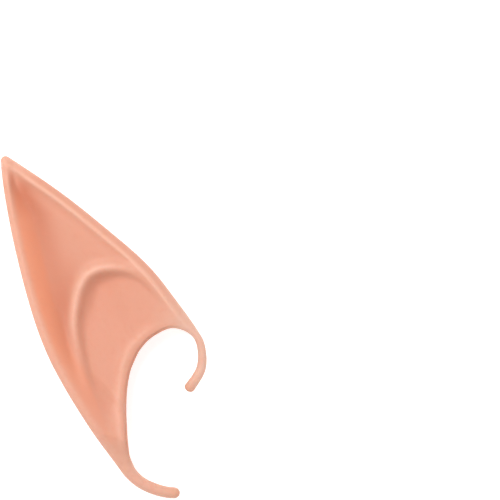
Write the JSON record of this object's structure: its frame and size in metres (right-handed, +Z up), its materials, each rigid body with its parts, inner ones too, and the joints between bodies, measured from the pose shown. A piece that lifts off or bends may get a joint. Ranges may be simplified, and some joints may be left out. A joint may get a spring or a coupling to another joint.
{
  "type": "elf ear tip",
  "caption": "Slip-on pointed ear shell of soft latex, hollow along a C-shaped edge, with a small hook over the ear and a tail under it.",
  "frame": {"origin": "on the surface that the ear lies on, under the middle of its bounding box", "axes": "+Z up out of the surface, from the plain back wall to the front wall with the relief; +Y along the ear's length, from the tail to the pointed tip; +X across, towards the hook"},
  "size_m": [0.0648, 0.108, 0.012],
  "materials": {
    "latex": "satin"
  },
  "bodies": {
    "root": {"ear_shell": "latex"}
  },
  "joints": []
}
